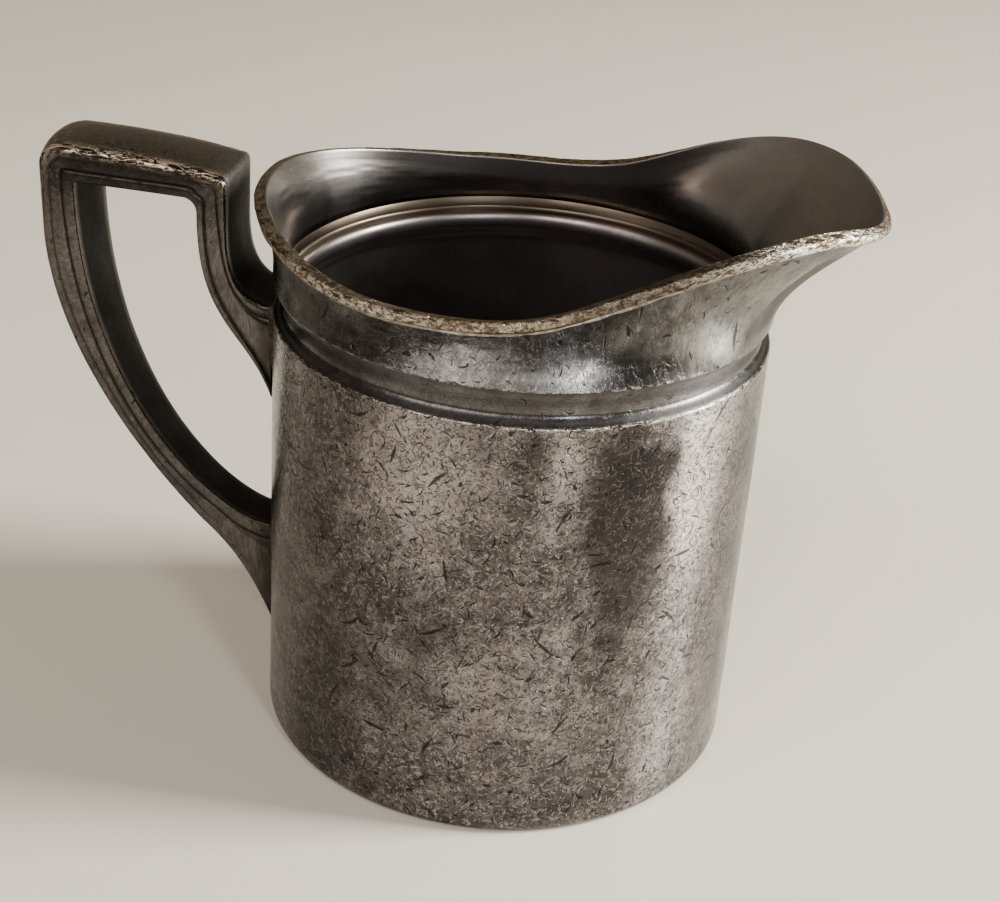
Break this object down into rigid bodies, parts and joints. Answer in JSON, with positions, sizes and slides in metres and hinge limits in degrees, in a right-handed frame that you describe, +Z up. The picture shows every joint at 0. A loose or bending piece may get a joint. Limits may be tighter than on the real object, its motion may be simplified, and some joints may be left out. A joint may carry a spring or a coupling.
{
  "type": "cream jug",
  "caption": "Small silver-plated cream jug: straight body, rolled groove, collar drawn out into a pouring lip, rim wire and a cast square-shouldered handle.",
  "frame": {"origin": "centre of the body's resting ring, on the table plane", "axes": "+Z up along the body's axis, +X towards the pouring lip, the handle on the -X side, +Y to the left when looking along +X"},
  "size_m": [0.1271, 0.076, 0.0958],
  "materials": {
    "body_silver": "worn, scratched and tarnished silver plate",
    "collar_silver": "tarnished silver plate, smoother than the body",
    "rim_metal": "plate worn through to yellowish base metal",
    "seam_solder": "thin bright solder line",
    "handle_silver": "dark tarnished plate on a casting",
    "joint_solder": "brown-stained solder"
  },
  "bodies": {
    "root": {"body_shell": "body_silver", "spout_collar": "collar_silver", "rim_wire": "rim_metal", "rim_solder_seam": "seam_solder", "handle": "handle_silver", "upper_solder_joint": "joint_solder", "lower_solder_joint": "joint_solder"}
  },
  "joints": []
}
